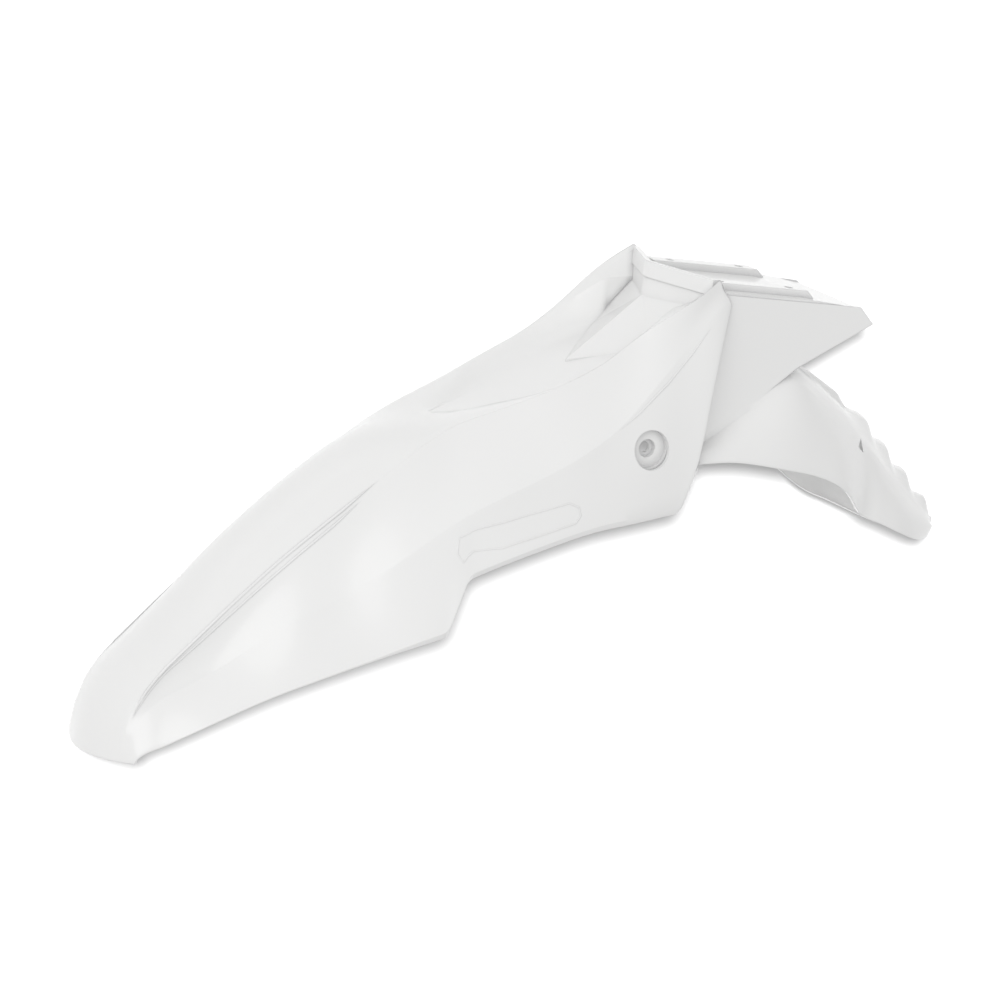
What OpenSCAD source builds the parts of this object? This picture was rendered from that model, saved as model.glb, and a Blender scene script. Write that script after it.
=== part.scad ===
/* [Skin] */
// Thickness of the moulded skin
wall = 3; // [2.4:0.1:3.4]
// How far the hem is turned in under the sides
hem_turn = 5; // [3:0.5:7]
// How deep the panel between the two side creases is hollowed
panel_hollow = 2; // [0:0.5:4]

/* [Prow wall] */
// Height of the prow wall's lip above the rails
lip_rise = 4; // [3:0.5:6]
// How far the lip stands proud of the wall below it
ledge_depth = 1.2; // [0.6:0.1:1.6]
// Height of the ledge line below the rails
ledge_drop = 8; // [7:0.5:12]

/* [Mounting deck] */
// Depth of the deck floor below the tops of the rails
deck_drop = 5; // [4:0.5:7]
// Distance from the centre line to the outer edge of each rail
rail_y = 43.4; // [42:0.2:45]
// Width of each rail
rail_width = 14.4; // [12:0.2:16]
// Length of each rail
rail_length = 96; // [86:1:100]
// Bolt spacing along the deck
bolt_spacing_x = 60; // [50:1:66]
// Diameter of the bolt holes through the rails
bolt_hole = 6.6; // [6:0.1:8.4]

/* [Side bolts] */
// Diameter of the round recess in each side
recess_d = 29; // [26:0.5:31]
// Diameter of the counterbore that takes the bolt head
counterbore_d = 13.4; // [12:0.1:15]
// Depth of the counterbore
counterbore_depth = 4; // [3:0.5:5]
// Diameter of the through hole
side_hole = 8.4; // [6.4:0.1:9]

/* [Tail] */
// Length of one step along the back of the tail
step_pitch = 23; // [22:0.25:24]
// Height of one step
step_rise = 19.5; // [17:0.5:21]
// Height of the raised strip in front of the steps, at its rear end
strip_rise = 7; // [4:0.5:8]

/* [Hidden] */

// Driving lines, each from rear to front: x, half width, height from the rail tops.
crest = [[46, 63, 6.5], [64, 66.5, -8.5], [82, 64, -23], [106, 58, -44], [130, 58, -65],
         [166, 56, -87], [202, 49, -106], [238, 43, -124], [267, 44, -145],
         [317, 44, -191], [364, 42, -238], [412, 41, -289.5], [440, 40, -320.5]];
waist = [[32, 61.5, -9], [44, 66, -15], [69, 71, -46], [88, 76, -69], [119, 82, -106], [150, 86, -130],
         [174, 85, -146], [210, 83, -167], [240, 79, -187], [282, 75, -222],
         [315, 68, -250], [356, 62, -275], [402, 48, -317], [440, 42, -342]];
rear_hem = [[60, 86, -166], [98, 90, -175.5], [136, 91, -186], [188, 90, -208],
            [220, 88, -223.5], [229, 88, -228]];
front_hem = [[240, 100, -267], [266, 99, -277], [298, 95, -291], [338, 89, -310],
             [374, 81, -329], [421, 65, -361], [446, 55, -379]];
crown = [[200, 0, -104.7], [238, 0, -123.5], [290, 0, -145], [340, 0, -185],
         [390, 0, -238], [420, 0, -284], [440, 0, -308]];
valley_floor = [[46, 0, -51], [76, 0, -53], [100, 0, -63], [124, 0, -77],
                [163, 0, -97], [200, 0, -113], [222, 0, -119.5], [236, 0, -123]];
tail_top = [[-107, 0, -86], [-73, 0, -66], [-39, 0, -51], [0, 0, -51], [46, 0, -51]];
shoulder = [[-214, 1.5, -174], [-205, 9, -166], [-180, 19, -150], [-155, 26, -132], [-131, 33, -112],
            [-107, 39, -95], [-73, 47, -73], [-39, 52.5, -56], [0, 56.3, -88],
            [31, 59.3, -115], [46, 60.8, -125]];
tail_hem = [[-214, 2, -178], [-209.5, 8, -181], [-198, 18, -183], [-183, 28, -181],
            [-165, 36, -176], [-144, 40, -169.5], [-124, 42, -164], [-115.5, 50, -158],
            [-94, 63, -143], [-68, 69, -134], [-28, 75, -129], [12, 75, -127], [46, 75, -131]];

// Straight-line tables: x against a width or depth.
floor_width = [[46, 45], [70, 45], [74, 39], [100, 40], [124, 38], [163, 35],
               [200, 24], [222, 13], [240, 15], [440, 12]];
bank_width = [[46, 47], [70, 48], [76, 50], [100, 55.5], [124, 56.5], [163, 54],
              [180, 46], [200, 30], [222, 19], [240, 26], [440, 24]];
bank_drop = [[46, 22], [58, 14], [74, 3], [163, 1], [200, 1.5], [236, 0]];
side_bulge = [[46, 5], [90, 3], [150, 0], [240, -2], [330, -2], [440, 1]];
turn_share = [[46, 1], [256, 1], [300, 0.3], [440, 0.1]];

// Column numbers of the named lines, counted from the centre line out.
c_floor = 1;
c_bank = 3;
c_crest = 4;
c_waist = 6;
c_turn = 9;
c_hem = 10;

// Beak: where it begins at the rear, where the valley ends, and where the hem steps down.
beak_rear = 76;
valley_end = 236;
crown_start = 200;
hem_step_front = 245.5;
hem_step_rear = 229;
// Share of the hem's turn that goes inward, and that goes up.
turn_in = 0.5;
turn_up = 0.85;
// Where along the beak's rear edge each column ends, from the ears down to the hem.
rear_ends = [[c_crest, 46], [c_waist, 32], [c_waist + 1, 43], [c_turn - 1, 50], [c_turn, 60], [c_hem, 62]];

// Nose: where the beak gives way to it, and the line of its blunt front edge.
nose_x = 440;
tip_x = 469.5;
tip_z = -394;
rim_crest = 37;
rim_waist = 41;
rim_half = 50;
rim_sweep = 13;
rim_lift = 4;
nose_bulge = 8;

// Arch: its raised centre strip, and where its flat top gives way to the rounded tail.
strip_half = 12;
strip_start = -45;
strip_end = -107;
strip_fade = 7;
arch_square = 14;
tail_round = 3;
round_off_from = 11;
round_off_to = -39;
ears_from = 10;
ears_to = 40;
// Half widths of the arch's columns where it meets the ears, and shares of its width behind them.
under_ear = [0, 45, 46, 47.5, 50, 55];
arch_share = [0.3, 0.38, 0.46, 0.62, 0.8, 0.93, 1];
tail_bow = 3;

// Steps of the tail: the landing in front of them, and how fast each one falls.
landing_z = -88;
landing_slope = 0.19;
first_step = -135;
fall_share = 0.3;
fall_part = 0.8;

function clamp(v, lo, hi) = max(lo, min(hi, v));
function mix(a, b, t) = a + (b - a) * t;
function ease(t) = let(s = clamp(t, 0, 1)) s * s * (3 - 2 * s);

// Smooth curve through a driving line's points, by height or width number k.
function span_of(line, x, i = 0) =
    i >= len(line) - 2 || x < line[i + 1][0] ? i : span_of(line, x, i + 1);
function slope(line, i, k) =
    let(a = max(i - 1, 0), b = min(i + 1, len(line) - 1))
    (line[b][k] - line[a][k]) / (line[b][0] - line[a][0]);
function along(line, x, k) =
    let(i = span_of(line, x), p = line[i], q = line[i + 1], h = q[0] - p[0],
        s = clamp((x - p[0]) / h, 0, 1))
    p[k] * (1 + 2 * s) * (1 - s) ^ 2 + slope(line, i, k) * h * s * (1 - s) ^ 2
    + q[k] * s ^ 2 * (3 - 2 * s) - slope(line, i + 1, k) * h * s ^ 2 * (1 - s);
function at(line, x) = [along(line, x, 1), along(line, x, 2)];

// A point on a panel between two lines, bowed outward by bow at its middle.
function panel(a, b, t, bow) =
    let(d = b - a, n = [-d[1], d[0]] / norm(d))
    a + d * t + n * bow * 4 * t * (1 - t);

// The hem steps down from the rear skirt to the front one in a short slope.
function hem(x) =
    let(w = clamp((hem_step_front - x) / (hem_step_front - hem_step_rear), 0, 1))
    at(front_hem, max(x, front_hem[0][0])) * (1 - w) + at(rear_hem, min(x, hem_step_rear)) * w;

// Height of the unsunk top surface at a half width y.
function top(x, y) =
    let(e = at(crest, x), zc = x < crown_start ? e[1] + 0.5 : along(crown, x, 2))
    zc - (zc - e[1]) * (y / e[0]) ^ 2.2;

// Half section of the beak at x, column c: valley floor, bank, crest, waist, hem.
function beak(x, c) =
    let(e = at(crest, x), w = at(waist, x), h = hem(x),
        turn = hem_turn * lookup(x, turn_share), t = h + turn * [turn_in, turn_up],
        yf = lookup(x, floor_width), yb = lookup(x, bank_width),
        sunk = x < valley_end, zf = along(valley_floor, x, 2),
        zb = top(x, yb) - lookup(x, bank_drop), ym = mix(yf, yb, 0.45))
    c <= c_floor ? let(y = yf * c / c_floor) [y, sunk ? zf : top(x, y)]
    : c < c_bank ? [ym, sunk ? mix(zf, zb, 0.38) : top(x, ym)]
    : c == c_bank ? [yb, zb]
    : c <= c_waist ? panel(e, w, (c - c_crest) / (c_waist - c_crest), -panel_hollow)
    : c <= c_turn ? panel(w, t, (c - c_waist) / (c_turn - c_waist), lookup(x, side_bulge))
    : h;

// The stepped back of the tail: a landing, then steps that fall fast and run on gently.
function steps_down(x) =
    x > first_step
    ? landing_z - landing_slope * (strip_end - x)
    : let(n = (first_step - x) / step_pitch, k = floor(n), f = n - k)
      landing_z - landing_slope * (strip_end - first_step)
      - step_rise * (k + (f < fall_share ? fall_part * f / fall_share
                          : mix(fall_part, 1, (f - fall_share) / (1 - fall_share))));
function even_slope(x) =
    along(tail_top, strip_end, 2) - 0.92 * step_rise / step_pitch * (strip_end - x);
function strip_height(x) =
    x > strip_end ? strip_rise * clamp((strip_start - x) / (strip_start - strip_end), 0, 1)
    : (strip_rise + 2) * clamp(1 - (strip_end - x) / strip_fade, 0, 1);

// Half section of the arch and tail at x, column c.
function tail(x, c) =
    let(s = at(shoulder, x), h = at(tail_hem, x), near = ease((x - ears_from) / (ears_to - ears_from)),
        share = s[0] * arch_share[min(c, c_waist)],
        far = c == 0 ? 0 : c < c_bank ? min(strip_half + c - 1, share) : share,
        y = mix(far, c < c_waist ? under_ear[c] : s[0], near),
        r = y / s[0],
        sharp = mix(tail_round, arch_square, ease((x - round_off_to) / (round_off_from - round_off_to))),
        even = x > strip_end ? along(tail_top, x, 2) : even_slope(x),
        stair = x > strip_end ? even : steps_down(x),
        strip = c > 1 ? 0 : strip_height(x),
        zc = mix(stair, even, min(1, 1.5 * r * r)) + strip)
    c <= c_waist ? [y, zc - (zc - s[1]) * r ^ sharp]
    : c <= c_turn ? panel(s, [h[0] + 0.5, h[1] + 1.5], (c - c_waist) / (c_turn - c_waist), tail_bow)
    : h;

// The blunt front edge, and the rounded nose above it.
function rim(c) =
    let(y = lookup(c, [[0, 0], [c_crest, rim_crest], [c_waist, rim_waist], [c_hem, rim_half]]),
        out = (y / rim_half) ^ 2)
    [tip_x - rim_sweep * out, y, tip_z + rim_lift * out];
function nose(c, t) =
    let(b = beak(nose_x, c), a = [nose_x, b[0], b[1]], r = rim(c),
        full = 1 - (c / c_hem) ^ 3,
        q = [r[0] + nose_bulge * full, mix(a[1], r[1], 0.6) * (1 + 0.08 * full),
             mix(r[2], a[2], 0.5 + 0.06 * full)])
    a * (1 - t) ^ 2 + q * 2 * t * (1 - t) + r * t ^ 2;

// Rows of the skin, from the tip back.
nose_rows = [1, 0.8, 0.58, 0.37, 0.18];
beak_rows = [440, 424, 408, 392, 376, 358, 340, 322, 304, 286, 270, 258, 250, 245.5,
             237, 229, 221, 208, 194, 180, 165, 150, 136, 122, 110, 98, 87, beak_rear];
rear_rows = [0.15, 0.45, 0.75, 1];
arch_rows = [43, 29, 14, -4, -22, -40, -57, -73, -90, -106.5];
landing_rows = [strip_end - strip_fade, -125];
step_rows = [for (k = [0:2]) for (f = [0, 0.15, 0.3, 0.65]) first_step - step_pitch * (k + f)];
end_rows = [-203.5, -207.5, -211, -214];
rows = concat(
    [for (t = nose_rows) [for (c = [0:c_hem]) nose(c, t)]],
    [for (x = beak_rows) [for (c = [0:c_hem]) concat([x], beak(x, c))]],
    [for (s = rear_rows) [for (c = [0:c_hem])
        let(x = mix(beak_rear, lookup(c, rear_ends), s)) concat([x], beak(x, c))]],
    [for (x = concat(arch_rows, landing_rows, step_rows, end_rows)) [for (c = [0:c_hem])
        concat([x], tail(x, c))]]);

// The outer sheet, both sides, and the inner sheet one wall under it.
columns = 2 * c_hem + 1;
function side_point(row, j) =
    let(p = row[abs(j - c_hem)]) j < c_hem ? [p[0], -p[1], p[2]] : p;
outer = [for (row = rows) [for (j = [0:columns - 1]) side_point(row, j)]];
last_row = len(outer) - 1;
function normal(i, j) =
    let(u = outer[min(i + 1, last_row)][j] - outer[max(i - 1, 0)][j],
        v = outer[i][min(j + 1, columns - 1)] - outer[i][max(j - 1, 0)], n = cross(v, u))
    n / norm(n);
inner = [for (i = [0:last_row]) [for (j = [0:columns - 1]) outer[i][j] - wall * normal(i, j)]];

module skin() {
    count = len(outer) * columns;
    flat = [for (sheet = [outer, inner]) for (row = sheet) for (p = row) p];
    over = function(i, j) i * columns + j;
    under = function(i, j) count + i * columns + j;
    quads = concat(
        [for (i = [0:last_row - 1]) for (j = [0:columns - 2])
            [over(i, j), over(i + 1, j), over(i + 1, j + 1), over(i, j + 1)]],
        [for (i = [0:last_row - 1]) for (j = [0:columns - 2])
            [under(i, j), under(i, j + 1), under(i + 1, j + 1), under(i + 1, j)]],
        [for (i = [0:last_row - 1]) [over(i, 0), under(i, 0), under(i + 1, 0), over(i + 1, 0)]],
        [for (i = [0:last_row - 1]) let(j = columns - 1)
            [over(i, j), over(i + 1, j), under(i + 1, j), under(i, j)]],
        [for (j = [0:columns - 2]) [over(0, j), over(0, j + 1), under(0, j + 1), under(0, j)]],
        [for (j = [0:columns - 2]) let(i = last_row)
            [over(i, j), under(i, j), under(i, j + 1), over(i, j + 1)]]);
    tris = [for (q = quads) for (t = [[q[0], q[1], q[2]], [q[0], q[2], q[3]]]) t];
    polyhedron(flat, tris);
}

// Prow wall: a V with a rounded front, its lower part spread into two flanks
// that run out on the valley floor.
wall_front = 72;
wall_end = [48, 58];
prow_round = 14;
v_angle = atan((wall_front - wall_end[0]) / wall_end[1]);
spine_foot = [124, 0, -71];
spine_top = [71, 0, -21];
flank_top = [50, 46, -15];
flank_foot = [80, 43, -52];

// The wall's plan line, set back by a distance from its outer face.
function v_line(back) =
    let(x = wall_front - prow_round / cos(v_angle), r = prow_round - back, end = back / cos(v_angle))
    concat([[wall_end[0] - end, -wall_end[1]]],
           [for (a = [-v_angle:v_angle / 2:v_angle]) [x + r * cos(a), r * sin(a)]],
           [[wall_end[0] - end, wall_end[1]]]);
function reversed(line) = [for (i = [len(line) - 1:-1:0]) line[i]];

module v_wall(proud, low, high) {
    translate([0, 0, low])
        linear_extrude(high - low)
            polygon(concat(v_line(-proud), reversed(v_line(wall))));
}

module facet(points) {
    hull()
        for (p = points) translate(p - [wall / 2, 0, wall / 2]) sphere(d = wall, $fn = 6);
}

module flank() {
    facet([spine_foot, spine_top, flank_foot]);
    facet([spine_top, flank_top, flank_foot]);
}

// Deck box: corners of its side plates in plan, and half widths of its floor.
box_front = [46, 60.5];
box_rear = [-102, 46];
box_turn = atan((box_front[1] - box_rear[1]) / (box_front[0] - box_rear[0]));
floor_half = [59, 51.5, 46];
// The floor is level as far back as the dip, then falls to its rear edge.
dip_x = -40;
deck_rear = -88;
deck_dip = 4;
// The rails end in a slope, and a lower strip runs along the outside of each.
rail_taper = 6;
strip_rear = -27;
strip_out = 56;
strip_low = 2;
// Side plate's outline, from its front end back and down, and how far its rim lies below the rails.
rim_drop = 6;
side_outline = [[-1, -rim_drop], [135, -rim_drop - 2], [149, -20], [86, -57], [15, -117], [-1, -127]];
rail_mid = rail_y - rail_width / 2;
floor_z = -deck_drop - wall;

module box_side() {
    translate([box_front[0], box_front[1], 0])
        rotate([0, 0, 180 + box_turn])
            rotate([90, 0, 0])
                mirror([0, 0, 1])
                    linear_extrude(wall) polygon(side_outline);
}

module deck_floor() {
    translate([0, 0, floor_z])
        linear_extrude(wall)
            polygon(concat(v_line(wall / 2), [[box_front[0], floor_half[0]], [dip_x, floor_half[1]],
                                              [dip_x, -floor_half[1]], [box_front[0], -floor_half[0]]]));
    fall = deck_dip / (dip_x - deck_rear);
    translate([dip_x, 0, 0])
        multmatrix([[1, 0, 0, 0], [0, 1, 0, 0], [fall, 0, 1, floor_z]])
            linear_extrude(wall)
                polygon([[0.5, -floor_half[1]], [0.5, floor_half[1]],
                         [deck_rear - dip_x, floor_half[2]], [deck_rear - dip_x, -floor_half[2]]]);
}

module rail() {
    half = rail_length / 2;
    translate([0, rail_y, 0])
        rotate([90, 0, 0])
            linear_extrude(rail_width)
                polygon([[half, floor_z], [half, 0], [rail_taper - half, 0],
                         [-half, -deck_drop], [-half, floor_z]]);
    translate([strip_rear, rail_y - 1, floor_z])
        cube([wall_end[0] - strip_rear, strip_out + 1 - rail_y, -strip_low - floor_z]);
}

// Side bolts: a cup sunk in each side, with a recess, a counterbore and a through hole.
hole_x = 93;
hole_z = -121;
cup_floor = 79;
cup_depth = 7;
cup_out = 4;
reach = 30;

module side_cup() {
    translate([hole_x, cup_floor - cup_depth, hole_z])
        rotate([-90, 0, 0])
            cylinder(d = recess_d + 2 * wall, h = cup_depth + cup_out, $fn = 64);
}

module side_cuts() {
    translate([hole_x, cup_floor, hole_z])
        rotate([-90, 0, 0]) {
            cylinder(d = recess_d, h = reach, $fn = 64);
            translate([0, 0, -counterbore_depth])
                cylinder(d = counterbore_d, h = reach, $fn = 48);
            translate([0, 0, -reach])
                cylinder(d = side_hole, h = 2 * reach, $fn = 48);
        }
}

module bolt_holes() {
    for (x = [-1, 1])
        translate([x * bolt_spacing_x / 2, rail_mid, -reach])
            cylinder(d = bolt_hole, h = 2 * reach, $fn = 48);
}

module both_sides() {
    children();
    mirror([0, 1, 0]) children();
}

module front_fender() {
    color("white")
        difference() {
            resize([0, 0, 0]) {
                skin();
                v_wall(0, spine_top[2] - 1, -ledge_drop);
                v_wall(ledge_depth, -ledge_drop, lip_rise);
                deck_floor();
                both_sides() {
                    flank();
                    box_side();
                    rail();
                    side_cup();
                }
            }
            both_sides() {
                side_cuts();
                bolt_holes();
            }
        }
}

front_fender();
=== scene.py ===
"""Looks of a one-piece moulded front fender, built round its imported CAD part."""

import logging
import math
from collections.abc import Callable, Sequence
from dataclasses import dataclass, field
from enum import Enum, IntEnum

import bpy
from mathutils import Matrix, Vector


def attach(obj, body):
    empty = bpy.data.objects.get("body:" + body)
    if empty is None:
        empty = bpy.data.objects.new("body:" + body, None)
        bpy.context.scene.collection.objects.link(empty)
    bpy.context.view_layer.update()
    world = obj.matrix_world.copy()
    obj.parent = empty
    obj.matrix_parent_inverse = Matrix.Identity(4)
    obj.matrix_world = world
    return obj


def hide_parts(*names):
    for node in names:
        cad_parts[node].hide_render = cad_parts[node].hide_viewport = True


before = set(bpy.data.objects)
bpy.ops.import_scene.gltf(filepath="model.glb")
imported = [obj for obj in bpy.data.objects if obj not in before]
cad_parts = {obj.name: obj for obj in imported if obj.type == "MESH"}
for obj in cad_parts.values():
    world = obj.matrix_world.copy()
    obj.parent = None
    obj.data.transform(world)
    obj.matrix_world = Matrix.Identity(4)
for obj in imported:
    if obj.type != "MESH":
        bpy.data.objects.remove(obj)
LOG = logging.getLogger("front_fender")

NODE = "front_fender"
BODY = "root"
MM = 0.001
SIDES = (-1, 1)
ROUND_SIDES = 96
WHITE = (1.0, 1.0, 1.0, 1.0)

Line = tuple[tuple[float, ...], ...]
Pair = tuple[float, float]
Point = tuple[float, float, float]


class Column(IntEnum):
    """Numbers of the named lines in half a section, counted from the centre line out."""

    FLOOR = 2
    BANK = 4
    CREST = 5
    WAIST = 8
    TURN = 12
    HEM = 13


class Carving(Enum):
    """What a tool does to the piece it is used on."""

    CUT = "DIFFERENCE"
    ADD = "UNION"


def clamp(value: float, low: float, high: float) -> float:
    """Keeps a value between two limits."""
    return max(low, min(high, value))


def mix(first: float, second: float, share: float) -> float:
    """Goes a share of the way from one value to another."""
    return first + (second - first) * share


def ease(share: float) -> float:
    """Starts and ends a move from 0 to 1 softly."""
    s = clamp(share, 0.0, 1.0)
    return s * s * (3.0 - 2.0 * s)


def share_of(column: float, first: Column, last: Column) -> float:
    """Tells how far a column lies on the way from one named line to another."""
    return (column - first) / (last - first)


def lookup(x: float, table: Line) -> float:
    """Reads a straight-line table.

    Args:
        x: Where to read it.
        table: Pairs of x and value, in rising x.

    Returns:
        The value at x, held level past both ends.
    """
    if x <= table[0][0]:
        return table[0][1]
    for p, q in zip(table, table[1:]):
        if x <= q[0]:
            return mix(p[1], q[1], (x - p[0]) / (q[0] - p[0]))
    return table[-1][1]


def along(line: Line, x: float, k: int) -> float:
    """Reads a smooth curve through a driving line's points.

    Args:
        line: The driving line.
        x: Where to read it.
        k: 1 for half width, 2 for height.

    Returns:
        The width or height at x.
    """
    i = 0
    while i < len(line) - 2 and x >= line[i + 1][0]:
        i += 1

    def slope(n: int) -> float:
        """Gives the curve's slope at one of its points."""
        a, b = line[max(n - 1, 0)], line[min(n + 1, len(line) - 1)]
        return (b[k] - a[k]) / (b[0] - a[0])

    p, q = line[i], line[i + 1]
    h = q[0] - p[0]
    s = clamp((x - p[0]) / h, 0.0, 1.0)
    start = p[k] * (1 + 2 * s) * (1 - s) ** 2 + slope(i) * h * s * (1 - s) ** 2
    return start + q[k] * s * s * (3 - 2 * s) - slope(i + 1) * h * s * s * (1 - s)


def at(line: Line, x: float) -> Vector:
    """Reads a driving line's half width and height as a flat vector."""
    return Vector((along(line, x, 1), along(line, x, 2)))


def panel(first: Vector, last: Vector, share: float, bow: float) -> Vector:
    """Gives a point on a panel between two lines of a section.

    Args:
        first: Point on the first line.
        last: Point on the second line.
        share: How far across, 0 to 1.
        bow: How far the panel's middle bows outward, in mm.

    Returns:
        The point.
    """
    across = last - first
    outward = Vector((-across[1], across[0])).normalized()
    return first + across * share + outward * bow * 4 * share * (1 - share)


def select_only(obj: bpy.types.Object) -> None:
    """Selects one object alone and makes it active.

    Args:
        obj: The object.
    """
    bpy.ops.object.select_all(action="DESELECT")
    obj.select_set(True)
    bpy.context.view_layer.objects.active = obj


def apply_modifiers(obj: bpy.types.Object) -> None:
    """Turns an object's modifiers into its mesh."""
    select_only(obj)
    bpy.ops.object.convert(target="MESH")


def face_outward(obj: bpy.types.Object, weld: bool = False) -> None:
    """Turns all faces of an object outward.

    Args:
        obj: The object.
        weld: True to merge points that lie together first.
    """
    select_only(obj)
    bpy.ops.object.mode_set(mode="EDIT")
    bpy.ops.mesh.select_all(action="SELECT")
    if weld:
        bpy.ops.mesh.remove_doubles(threshold=MM / 100)
    bpy.ops.mesh.normals_make_consistent(inside=False)
    bpy.ops.object.mode_set(mode="OBJECT")


def crease_edges(
    obj: bpy.types.Object, wanted: Callable[[int, int], bool], value: float, sharp: bool = False
) -> None:
    """Creases the edges that a test picks.

    Args:
        obj: The object.
        wanted: Test on an edge's two vertex numbers.
        value: Crease to add, 0 to 1.
        sharp: True to keep them sharp in shading too.
    """
    select_only(obj)
    bpy.ops.object.mode_set(mode="EDIT")
    bpy.ops.mesh.select_mode(type="EDGE")
    bpy.ops.mesh.select_all(action="DESELECT")
    bpy.ops.object.mode_set(mode="OBJECT")
    for edge in obj.data.edges:
        edge.select = wanted(*edge.vertices)
    bpy.ops.object.mode_set(mode="EDIT")
    bpy.ops.transform.edge_crease(value=value)
    if sharp:
        bpy.ops.mesh.mark_sharp()
    bpy.ops.object.mode_set(mode="OBJECT")


def add_sheet(name: str, across: int, rows: int) -> bpy.types.Object:
    """Adds a flat grid to be laid on a shape.

    Args:
        name: The sheet's name.
        across: Faces across the sheet.
        rows: Rows of points along it.

    Returns:
        The sheet.
    """
    bpy.ops.object.select_all(action="DESELECT")
    bpy.ops.mesh.primitive_grid_add(x_subdivisions=across, y_subdivisions=rows - 1)
    sheet = bpy.context.active_object
    sheet.name = name
    return sheet


def outline_solid(name: str, corners: Sequence[Point], shift: Point) -> bpy.types.Object:
    """Makes a closed solid from a flat outline pushed along a line.

    Args:
        name: The piece's name.
        corners: The outline, in mm.
        shift: How far and which way it is pushed, in mm.

    Returns:
        The piece.
    """
    bpy.ops.object.select_all(action="DESELECT")
    bpy.ops.mesh.primitive_circle_add(vertices=len(corners), radius=MM, fill_type="NGON")
    piece = bpy.context.active_object
    piece.name = name
    for vertex, corner in zip(piece.data.vertices, corners):
        vertex.co = Vector(corner) * MM
    bpy.ops.object.mode_set(mode="EDIT")
    bpy.ops.mesh.select_all(action="SELECT")
    bpy.ops.mesh.extrude_region_move(TRANSFORM_OT_translate={"value": Vector(shift) * MM})
    bpy.ops.object.mode_set(mode="OBJECT")
    face_outward(piece)
    return piece


def rod(name: str, place: Point, radius: float, length: float, along_y: bool) -> bpy.types.Object:
    """Makes a cylinder, its middle at a place.

    Args:
        name: The piece's name.
        place: Its middle, in mm.
        radius: Its radius, in mm.
        length: Its length, in mm.
        along_y: True to lay it along Y, else it stands along Z.

    Returns:
        The piece.
    """
    bpy.ops.object.select_all(action="DESELECT")
    turn = (math.radians(90), 0, 0) if along_y else (0, 0, 0)
    bpy.ops.mesh.primitive_cylinder_add(
        vertices=ROUND_SIDES, radius=radius * MM, depth=length * MM,
        location=Vector(place) * MM, rotation=turn,
    )
    piece = bpy.context.active_object
    piece.name = name
    bpy.ops.object.transform_apply(location=True, rotation=True, scale=True)
    return piece


def carve(obj: bpy.types.Object, tools: Sequence[bpy.types.Object], carving: Carving) -> None:
    """Cuts tools out of an object, or adds them to it, and drops the tools.

    Args:
        obj: The object.
        tools: The pieces to use.
        carving: What they do to it.
    """
    for tool in tools:
        step = obj.modifiers.new(carving.name, "BOOLEAN")
        step.operation = carving.value
        step.solver = "EXACT"
        step.object = tool
    apply_modifiers(obj)
    for tool in tools:
        bpy.data.objects.remove(tool)


def join_pieces(name: str, pieces: Sequence[bpy.types.Object]) -> bpy.types.Object:
    """Joins pieces into one object.

    Args:
        name: Name of the whole.
        pieces: The pieces; the first keeps its place.

    Returns:
        The joined object.
    """
    select_only(pieces[0])
    for piece in pieces:
        piece.select_set(True)
    bpy.ops.object.join()
    whole = bpy.context.active_object
    whole.name = name
    return whole


def new_material(name: str) -> tuple[bpy.types.Material, bpy.types.NodeTree, bpy.types.Node]:
    """Makes a node material.

    Args:
        name: The material's name.

    Returns:
        The material, its node tree and its surface shader node.
    """
    material = bpy.data.materials.new(name)
    material.use_nodes = True
    tree = material.node_tree
    return material, tree, tree.nodes["Principled BSDF"]


def mixed_color(
    tree: bpy.types.NodeTree, factor: bpy.types.NodeSocket, first: Point, second: Point
) -> bpy.types.NodeSocket:
    """Adds a mix of two colours to a node tree.

    Args:
        tree: The tree.
        factor: Output that says how much of the second colour there is.
        first: Colour at factor 0.
        second: Colour at factor 1.

    Returns:
        The output with the mixed colour.
    """
    tone = tree.nodes.new("ShaderNodeMix")
    tone.data_type = "RGBA"
    tone.inputs["A"].default_value = (*first, 1.0)
    tone.inputs["B"].default_value = (*second, 1.0)
    tree.links.new(factor, tone.inputs["Factor"])
    return tone.outputs["Result"]


def seen_rays(tree: bpy.types.NodeTree) -> bpy.types.NodeSocket:
    """Tells rays that show a thing to the camera from rays that carry its light.

    Args:
        tree: The node tree that asks.

    Returns:
        An output that is 1 for camera, glossy and transmission rays, else 0.
    """
    path = tree.nodes.new("ShaderNodeLightPath")
    seen = path.outputs["Is Camera Ray"]
    for ray in ("Is Glossy Ray", "Is Transmission Ray"):
        either = tree.nodes.new("ShaderNodeMath")
        either.operation = "MAXIMUM"
        tree.links.new(seen, either.inputs[0])
        tree.links.new(path.outputs[ray], either.inputs[1])
        seen = either.outputs[0]
    return seen


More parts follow.
